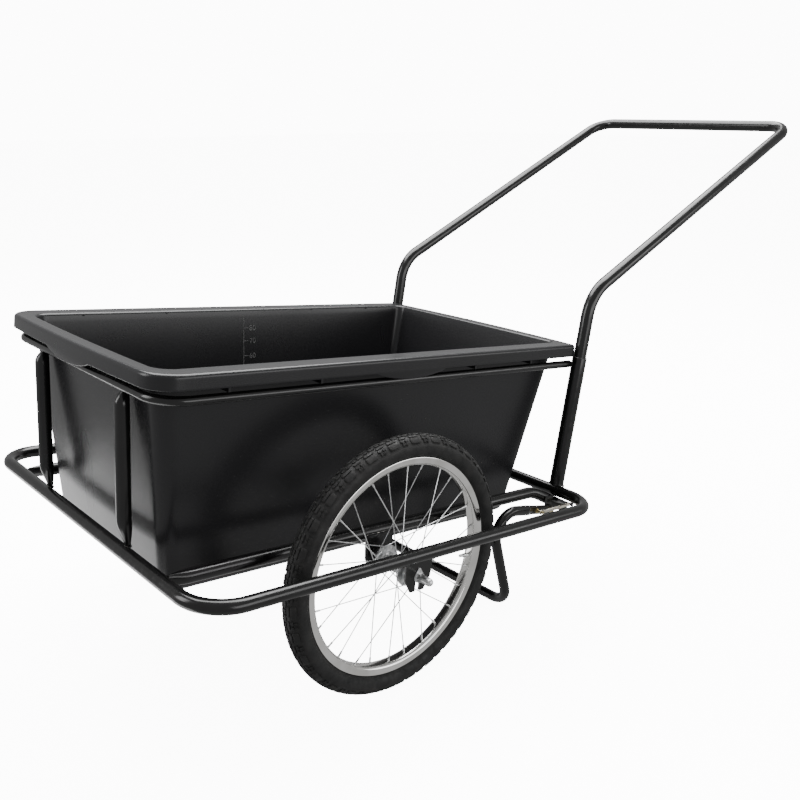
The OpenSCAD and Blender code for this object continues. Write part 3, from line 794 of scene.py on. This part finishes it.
def digits(shape, text, x, z, height):
    """Raised generic numerals, from Blender's own font."""
    curve = bpy.data.curves.new("digits", "FONT")
    curve.body = text
    curve.size = height / 0.7
    curve.extrude = SCALE_RELIEF
    holder = bpy.data.objects.new("digits", curve)
    mesh = bpy.data.meshes.new_from_object(holder)
    points = [wall_point(x + v.co.x, z + v.co.y, v.co.z) for v in mesh.vertices]
    shape.add(points, [list(f.vertices) for f in mesh.polygons])
    bpy.data.objects.remove(holder)
    bpy.data.curves.remove(curve)
    bpy.data.meshes.remove(mesh)


def litre_scale():
    shape = Shape()
    scale_bar(shape, SCALE_X - 0.8, SCALE_X + 0.8, 235, 352)
    for litres, z in SCALE_MARKS.items():
        scale_bar(shape, SCALE_X, SCALE_X + 12, z - 0.8, z + 0.8)
        digits(shape, str(litres), SCALE_X + 15, z - 6, 12)
    piece("litre_scale", shape, mark_plastic, "tub")


# ---- Wheels ----

HUB_Y = abs(deck_point("wheel_right_spin").y)
TYRE_OUT = deck_box("tyre_right")
WHEEL_R = (TYRE_OUT[1].x - TYRE_OUT[0].x) / 2
TYRE_R = (TYRE_OUT[1].y - TYRE_OUT[0].y) / 2
TYRE_MID_R = WHEEL_R - TYRE_R
RIM_INNER_R = 192.5
RIM_FLANGE_R = 209.5
RIM_HALF = 15
SPOKES = 28
TREAD_DEPTH = 1.7
TREAD_HALF_ANGLE = 66
PITCHES = 30


def tyre_profile():
    """Casing, from bead to bead over the crown, with a ridge on each sidewall."""
    points = [(RIM_FLANGE_R - 1.5, -10.8), (RIM_FLANGE_R + 0.6, -13.6)]
    for angle in range(-128, 129, 8):
        ridge = 0.5 if abs(angle) in (104, 112) else 0
        low = TREAD_DEPTH * smooth_step((TREAD_HALF_ANGLE + 3 - abs(angle)) / 5)
        r = TYRE_R - 0.15 - low + ridge * 0.3
        a = math.radians(angle)
        points.append((TYRE_MID_R + r * math.cos(a), r * math.sin(a)))
    points += [(RIM_FLANGE_R + 0.6, 13.6), (RIM_FLANGE_R - 1.5, 10.8)]
    return [p for p in points if p[0] > RIM_FLANGE_R - 2]


def on_tyre(along, across, height, side):
    """Point on the casing: along its crown and across it in millimetres, raised by height."""
    turn = along / WHEEL_R
    lean = across / TYRE_R
    r = TYRE_R - TREAD_DEPTH + height
    reach = TYRE_MID_R + r * math.cos(lean)
    return Vector((reach * math.cos(turn), side * (HUB_Y + r * math.sin(lean)),
                   reach * math.sin(turn)))


def block_outline(length, width, radius):
    """Outline of a tread block with rounded corners and points along its long sides."""
    a, b = length / 2, width / 2
    points = []
    for cx, cy, start in [(a - radius, b - radius, 0), (radius - a, b - radius, 90),
                          (radius - a, radius - b, 180), (a - radius, radius - b, 270)]:
        points += arc((cx, cy), radius, start, start + 90, 3)
    return points


def tread_block(shape, along, across, length, width, side, radius=2.0, lean=0.0):
    """One block: walls up from the casing, a bevelled edge and a curved top."""
    outline = block_outline(length, width, radius)
    c, s = math.cos(math.radians(lean)), math.sin(math.radians(lean))
    rows = []
    for shrink, height in [(1.06, -0.6), (1.0, TREAD_DEPTH - 0.5), (0.93, TREAD_DEPTH - 0.02),
                           (0.6, TREAD_DEPTH), (0.25, TREAD_DEPTH)]:
        row = []
        for x, y in outline:
            x, y = x * shrink, y * shrink
            row.append(on_tyre(along + x * c - y * s, across + x * s + y * c, height, side))
        rows.append(row)
    shape.add([p for row in rows for p in row], bridge(rows))


def tread(shape, side):
    """Blocks of one pitch, with the two shoulders half a pitch apart."""
    pitch = 2 * math.pi * WHEEL_R / PITCHES
    for k in range(PITCHES):
        s = k * pitch
        tread_block(shape, s + pitch * 0.25, 0, 13, 6.4, side)
        tread_block(shape, s + pitch * 0.75, 0, 13, 6.4, side)
        tread_block(shape, s, 0, 8, 5, side)
        tread_block(shape, s + pitch * 0.5, 0, 8, 5, side)
        for hand in (-1, 1):
            t = s + (pitch / 2 if hand > 0 else 0)
            tread_block(shape, t, hand * 7.6, 21, 5.4, side)
            tread_block(shape, t + pitch / 2, hand * 7.2, 16, 4.6, side, 1.8)
            tread_block(shape, t, hand * 17.6, 23, 11.4, side, 3.4)
            tread_block(shape, t + pitch * 0.40, hand * 14.4, 7.5, 5, side, 1.6, hand * 18)
            tread_block(shape, t + pitch * 0.60, hand * 14.4, 7.5, 5, side, 1.6, hand * -18)
            tread_block(shape, t + pitch * 0.42, hand * 21, 4.2, 6, side, 1.6)
            tread_block(shape, t + pitch * 0.5, hand * 20.4, 3, 4.6, side, 1.2)
            tread_block(shape, t + pitch * 0.58, hand * 21, 4.2, 6, side, 1.6)


def rim_profile():
    """Rolled box rim: hooked edges, a dropped well and a rounded inner face."""
    outer = [
        (RIM_INNER_R, 0), (RIM_INNER_R + 0.1, 5), (RIM_INNER_R + 0.9, 8.5),
        (RIM_INNER_R + 2.6, 11.4), (RIM_INNER_R + 5.2, 13.2), (RIM_INNER_R + 8.5, 14),
        (RIM_INNER_R + 11, 14.2), (RIM_INNER_R + 13.5, 14.7), (RIM_FLANGE_R - 1.6, RIM_HALF),
        (RIM_FLANGE_R - 0.4, RIM_HALF - 0.5), (RIM_FLANGE_R, RIM_HALF - 1.4),
        (RIM_FLANGE_R - 0.5, RIM_HALF - 2.4), (RIM_FLANGE_R - 2, RIM_HALF - 2.8),
        (204, 12.1), (203.2, 10.6), (203, 8), (197, 6.6), (194.2, 5), (194.2, 0),
    ]
    return outer + [(r, -y) for r, y in outer[-2::-1] if y > 0]


def spoke_ends(flange, k):
    """Hole in the flange, place at the rim, and the side of the flange that it leaves by."""
    step = 4 * math.pi / SPOKES
    hole = k * step + (step / 2 if flange > 0 else 0)
    outside = k % 2 == 0
    rim = hole + (-3 * step if outside else 3 * step)
    return hole, rim, outside


FLANGE_Y = 31
FLANGE_HOLE_R = 24
NIPPLE_L = 12
SPOKE_R = 1.0


def spokes(name, side):
    shape = Shape()
    for flange in (-1, 1):
        for k in range(SPOKES // 2):
            hole, rim, outside = spoke_ends(flange, k)
            leave = 1 if outside else -1
            head = polar(FLANGE_HOLE_R, hole, flange * (FLANGE_Y - leave * 2.9), side)
            elbow = polar(FLANGE_HOLE_R, hole, flange * (FLANGE_Y + leave * 2.9), side)
            seat = polar(RIM_INNER_R + 0.5, rim, flange * 2.5, side)
            along = (seat - elbow).normalized()
            path = [head - (elbow - head).normalized() * 0.2, head]
            path += rounded_path([head, elbow, elbow + along * 6], [1.6], 30)[1:]
            path.append(seat - along * 3)
            sweep(shape, path, spoke_section, 8, up=along)
            nipple = [seat - along * d for d in (NIPPLE_L, NIPPLE_L - 0.6, 4, 3, 0.4, 0)]
            sweep(shape, nipple, nipple_section, 10)
    piece(f"spoke_set_{name}", shape, zinc, f"wheel_{name}", [f"spokes_{name}"])


def spoke_section(start, end):
    radius = 2.2 if start < 0.6 else SPOKE_R
    return radius, radius, 2


def nipple_section(start, end):
    radius = 1.3 if start < 0.3 else 1.8 if end > 3.5 else 2.1
    return radius, radius, 2


def polar(radius, angle, out, side):
    return Vector((radius * math.cos(angle), side * (HUB_Y + out), radius * math.sin(angle)))


def hub(name, side):
    half = [
        (9, 42), (16.6, 42), (17.3, 41.2), (17.5, 39.5), (17.2, 35.5), (17.6, 33.4),
        (20, 32.6), (27, 32.4), (28, 31.6), (28, 30.4), (27, 29.6), (20, 29.4),
        (16.4, 28.4), (14.6, 26), (14, 22), (13.8, 12), (13.8, 1.6), (14.6, 1.2), (14.6, 0),
    ]
    profile = half + [(r, -y) for r, y in half[-2::-1]]
    shape = Shape()
    turned(shape, profile, (0, side * HUB_Y, 0), side, 64, closed=True)
    piece(f"hub_shell_{name}", shape, zinc, f"wheel_{name}", [f"hub_{name}"])


def wheel(name, side):
    centre = (0, side * HUB_Y, 0)
    casing = Shape()
    turned(casing, tyre_profile(), centre, side, 192, closed=True)
    tread(casing, side)
    piece(f"tyre_cover_{name}", casing, rubber, f"wheel_{name}",
          [f"tyre_{name}"], sharp=38)
    rim = Shape()
    turned(rim, rim_profile(), centre, side, 160, closed=True)
    piece(f"rim_channel_{name}", rim, chrome, f"wheel_{name}", [f"rim_{name}"])
    spokes(name, side)
    hub(name, side)


# ---- Nuts and bolts ----

LOCKNUT_T, LOCKNUT_FLATS = 6, 17
PLATE_AND_WASHER = 6
AXLE_NUT_T, AXLE_NUT_FLATS = 8, 15
AXLE_BORE = 4.8
CAP_R = 7.5
CAP_L = 17.5
PIVOT_FLATS = 13
PIVOT_HEAD_T = 4
PIVOT_BOLT_R = 3.9
BRACKET_T = 5
LUG_HALF = 3.4


def hexagon(shape, centre, out, height, flats, side, bore=0.0):
    """Nut or bolt head with both faces chamfered, from out to out + height on its axis."""
    full = flats / math.sqrt(3)
    low, high = out, out + height
    inner = bore or 0.1
    profile = [
        (inner, low), (flats / 2 - 0.3, low), (full - 0.1, low + 0.9),
        (full, low + 1.2), (full, high - 1.2), (full - 0.1, high - 0.9),
        (flats / 2 - 0.3, high), (bore + 1.2 if bore else 2, high), (inner, high - 0.6),
    ]
    turned(shape, profile, centre, side, 48, flats)


def fasteners(name, side):
    axis = (0, side * HUB_Y, 0)
    low, high = deck_box(f"locknuts_{name}")
    half = (high.y - low.y) / 2
    locknuts = Shape()
    nuts = Shape()
    for end in (-1, 1):
        hexagon(locknuts, axis, half - LOCKNUT_T, LOCKNUT_T, LOCKNUT_FLATS, side * end, AXLE_BORE)
        hexagon(nuts, axis, half + PLATE_AND_WASHER, AXLE_NUT_T, AXLE_NUT_FLATS, side * end,
                AXLE_BORE)
    piece(f"hub_locknuts_{name}", locknuts, zinc, "frame", [f"locknuts_{name}"])
    piece(f"axle_hex_nuts_{name}", nuts, zinc, "frame", [f"axle_nuts_{name}"])
    cap = Shape()
    bottom = half + PLATE_AND_WASHER + AXLE_NUT_T
    dome_r = CAP_R - 0.2
    dome = [(dome_r * math.cos(a), bottom + CAP_L + 1 + dome_r * math.sin(a))
            for a in [math.radians(t) for t in (0, 15, 30, 45, 60, 75, 88)]]
    barrel = [(AXLE_BORE, bottom), (CAP_R - 0.5, bottom), (CAP_R, bottom + 0.6),
              (CAP_R, bottom + CAP_L)]
    turned(cap, barrel + dome, axis, side, 40)
    piece(f"axle_dome_nut_{name}", cap, zinc, "frame", [f"cap_nut_{name}"])


def bolt_sets():
    """The two bolts that the stand turns on, with a thin nut on the inner end of each."""
    centre = (PIVOT.x, 0, PIVOT.z)
    inner = STAND_Y - LUG_HALF - BRACKET_T
    head = deck_box("pivot_bolts")[1].y - PIVOT_HEAD_T
    shank = [(PIVOT_BOLT_R - 0.5, inner - 5.5), (PIVOT_BOLT_R, inner - 4.9), (PIVOT_BOLT_R, head)]
    bolts = Shape()
    for side in (-1, 1):
        turned(bolts, shank, centre, side, 24)
        hexagon(bolts, centre, head, PIVOT_HEAD_T, PIVOT_FLATS, side)
    piece("stand_pivot_bolts", bolts, yellow_zinc, "frame", ["pivot_bolts"])
    nut_out = deck_box("pivot_nuts")[1].y - PIVOT_HEAD_T
    nuts = Shape()
    for side in (-1, 1):
        hexagon(nuts, centre, nut_out, PIVOT_HEAD_T, PIVOT_FLATS, side, PIVOT_BOLT_R + 0.1)
    piece("stand_pivot_nuts", nuts, zinc, "frame", ["pivot_nuts"])


# ---- Springs ----

SPRING_Y = STAND_Y + 17
SPRING_BOLT = Vector((437.2, SPRING_Y, 16))
SPRING_HOOK = Vector((541, SPRING_Y, 17))
COIL_R = 3.2
WIRE_R = 0.75


def spring(name, side):
    """Close-wound coil with a loop at each end."""
    along = (SPRING_HOOK - SPRING_BOLT).normalized()
    lift = along.cross(ACROSS)
    start = SPRING_BOLT + along * 7
    length = (SPRING_HOOK - SPRING_BOLT).length - 14
    turns = 48
    path = []
    for k in range(turns * 12 + 1):
        a = 2 * math.pi * k / 12
        path.append(start + along * (length * k / (turns * 12))
                    + (ACROSS * math.cos(a) + lift * math.sin(a)) * COIL_R)
    shape = Shape()
    sweep(shape, path, round_tube(WIRE_R), 6, up=along)
    for pin, pin_r, way in ((SPRING_BOLT, 3.9, 1), (SPRING_HOOK, 3.5, -1)):
        loop = [pin + (along * way * math.cos(a) + lift * math.sin(a)) * (pin_r + WIRE_R - 0.4)
                for a in [math.radians(t) for t in range(0, 350, 10)]]
        loop.append(pin + along * way * 7.4)
        sweep(shape, loop, round_tube(WIRE_R + 0.2), 8, up=ACROSS)
    if side < 0:
        shape = shape.mirrored()
    obj = piece(f"tension_spring_{name}", shape, spring_steel, f"spring_{name}",
                [f"spring_{name}"])
    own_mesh(obj)


bumper_loop()
rails()
rim_frame()
front_posts()
rear_posts()
handle()
stand()
welds()
tub()
litre_scale()
bolt_sets()
for side_name, side_sign in SIDES.items():
    wheel(side_name, side_sign)
    fasteners(side_name, side_sign)
    spring(side_name, side_sign)

# ---- Camera ----

camera_data = bpy.data.cameras.new("camera")
camera_data.lens = 40.2
camera_data.sensor_width = 36
camera = bpy.data.objects.new("camera", camera_data)
bpy.context.scene.collection.objects.link(camera)
camera.location = DECK @ Vector((-1.062, -1.4553, 0.6695))
look = DECK.to_3x3() @ Vector((0.6673, 0.7084, -0.2298))
camera.rotation_euler = look.to_track_quat("-Z", "Y").to_euler()
bpy.context.scene.camera = camera

# ---- Floor and lights ----

FLOOR_SIZE = 60
FLOOR_GLOW = 11.0
ROOM_LIGHT = 0.5
BACKDROP_LIGHT = 12.0
CARD_LOW = (-1.34, -0.3)
CARD_HIGH = (-0.9, 1.3)
CARD_GLOW = 2.0


def flat_sheet(name, low, high, z, mat):
    mesh = bpy.data.meshes.new(name)
    corners = [(low[0], low[1], z), (high[0], low[1], z), (high[0], high[1], z),
               (low[0], high[1], z)]
    mesh.from_pydata(corners, [], [[0, 1, 2, 3]])
    mesh.materials.append(mat)
    obj = bpy.data.objects.new(name, mesh)
    bpy.context.scene.collection.objects.link(obj)
    return obj


def glowing(name, colour, glow):
    mat, _, shader = material(name, colour, 0.9, specular=0.1)
    shader.inputs["Emission Color"].default_value = (1, 1, 1, 1)
    shader.inputs["Emission Strength"].default_value = glow
    return mat


def floor():
    """Pale lit floor. What the gloss of the cart mirrors is a smaller lit sheet below it."""
    half = FLOOR_SIZE / 2
    paper = glowing("floor_paper", (0.9, 0.9, 0.9), FLOOR_GLOW)
    ground = flat_sheet("floor", (-half, -half), (half, half), 0, paper)
    ground.visible_glossy = False
    ground.visible_diffuse = False
    card = flat_sheet("floor_card", CARD_LOW, CARD_HIGH, -0.002,
                      glowing("card_paper", (0.9, 0.9, 0.9), CARD_GLOW))
    card.visible_camera = False
    card.visible_diffuse = False
    card.visible_shadow = False


def soft_box(name, location, target, size, power):
    """Square studio light that faces its target."""
    data = bpy.data.lights.new(name, "AREA")
    data.shape = "RECTANGLE"
    data.size, data.size_y = size
    data.energy = power
    obj = bpy.data.objects.new(name, data)
    bpy.context.scene.collection.objects.link(obj)
    obj.location = location
    toward = Vector(target) - Vector(location)
    obj.rotation_euler = toward.to_track_quat("-Z", "Y").to_euler()


def studio_world():
    """White behind the object, dim where surfaces mirror it, so that black gloss stays black."""
    studio = bpy.data.worlds.new("studio")
    bpy.context.scene.world = studio
    studio.use_nodes = True
    tree = studio.node_tree
    paths = tree.nodes.new("ShaderNodeLightPath")
    background = tree.nodes["Background"]
    background.inputs["Color"].default_value = (1, 1, 1, 1)
    seen = tree.nodes.new("ShaderNodeMapRange")
    seen.inputs["To Min"].default_value = ROOM_LIGHT
    seen.inputs["To Max"].default_value = BACKDROP_LIGHT
    tree.links.new(paths.outputs["Is Camera Ray"], seen.inputs["Value"])
    tree.links.new(seen.outputs["Result"], background.inputs["Strength"])


def lights():
    middle = (0, 0, 0.4)
    soft_box("top_light", (0.5, 0.9, 3.4), (0.3, 0.5, 0), (4.0, 3.0), 420)
    soft_box("front_light", (-3.6, 1.4, 2.2), middle, (1.6, 2.4), 70)
    soft_box("side_light", (1.4, -4.0, 1.1), (0.4, 0, 0.9), (5.5, 1.8), 90)


floor()
studio_world()
lights()
